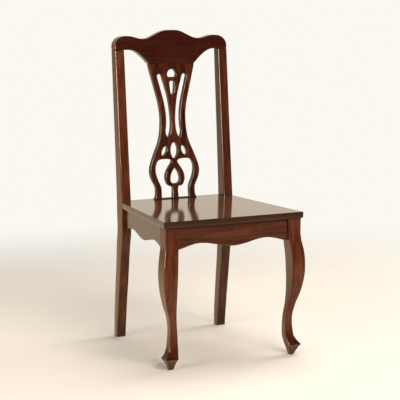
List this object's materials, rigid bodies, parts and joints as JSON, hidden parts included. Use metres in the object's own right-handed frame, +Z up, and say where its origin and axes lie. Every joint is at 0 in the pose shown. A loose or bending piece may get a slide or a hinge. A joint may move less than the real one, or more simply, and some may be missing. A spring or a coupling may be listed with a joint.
{
  "type": "wooden dining chair",
  "caption": "Wooden dining chair with a shaped crest rail, a pierced splat back, a flat seat panel, scalloped aprons and cabriole front legs.",
  "frame": {"origin": "on the floor, under the middle of the chair's box", "axes": "+Z up; the chair faces -Y; +X is on the right of someone who looks at its front"},
  "size_m": [0.4776, 0.497, 0.9945],
  "materials": {
    "frame_wood": "reddish brown stained hardwood under semi-gloss lacquer",
    "crest_wood": "dark reddish brown stained hardwood under semi-gloss lacquer",
    "seat_wood": "reddish brown stained hardwood under a glossier lacquer",
    "bare_wood": "pale unfinished hardwood",
    "screw_steel": "zinc plated"
  },
  "bodies": {
    "root": {"crest_rail": "crest_wood", "splat": "frame_wood", "seat_panel": "seat_wood", "rear_leg_left": "frame_wood", "rear_leg_right": "frame_wood", "front_leg_left": "frame_wood", "front_leg_right": "frame_wood", "front_apron": "frame_wood", "rear_apron": "frame_wood", "side_apron_left": "frame_wood", "side_apron_right": "frame_wood", "corner_block_front_left": "bare_wood", "corner_block_front_right": "bare_wood", "corner_block_rear_left": "bare_wood", "corner_block_rear_right": "bare_wood", "front_apron_dowel_left_upper": "bare_wood", "front_apron_dowel_left_lower": "bare_wood", "front_apron_dowel_right_upper": "bare_wood", "front_apron_dowel_right_lower": "bare_wood", "rear_apron_dowel_left_upper": "bare_wood", "rear_apron_dowel_left_lower": "bare_wood", "rear_apron_dowel_right_upper": "bare_wood", "rear_apron_dowel_right_lower": "bare_wood", "side_apron_left_dowel_front_upper": "bare_wood", "side_apron_left_dowel_front_lower": "bare_wood", "side_apron_left_dowel_rear_upper": "bare_wood", "side_apron_left_dowel_rear_lower": "bare_wood", "side_apron_right_dowel_front_upper": "bare_wood", "side_apron_right_dowel_front_lower": "bare_wood", "side_apron_right_dowel_rear_upper": "bare_wood", "side_apron_right_dowel_rear_lower": "bare_wood", "crest_dowel_left_front": "bare_wood", "crest_dowel_left_rear": "bare_wood", "crest_dowel_right_front": "bare_wood", "crest_dowel_right_rear": "bare_wood", "corner_block_screw_front_left_across": "screw_steel", "corner_block_screw_front_left_along": "screw_steel", "corner_block_screw_front_right_across": "screw_steel", "corner_block_screw_front_right_along": "screw_steel", "corner_block_screw_rear_left_across": "screw_steel", "corner_block_screw_rear_left_along": "screw_steel", "corner_block_screw_rear_right_across": "screw_steel", "corner_block_screw_rear_right_along": "screw_steel", "seat_screw_front_left": "screw_steel", "seat_screw_front_right": "screw_steel", "seat_screw_rear_left": "screw_steel", "seat_screw_rear_right": "screw_steel"}
  },
  "joints": []
}
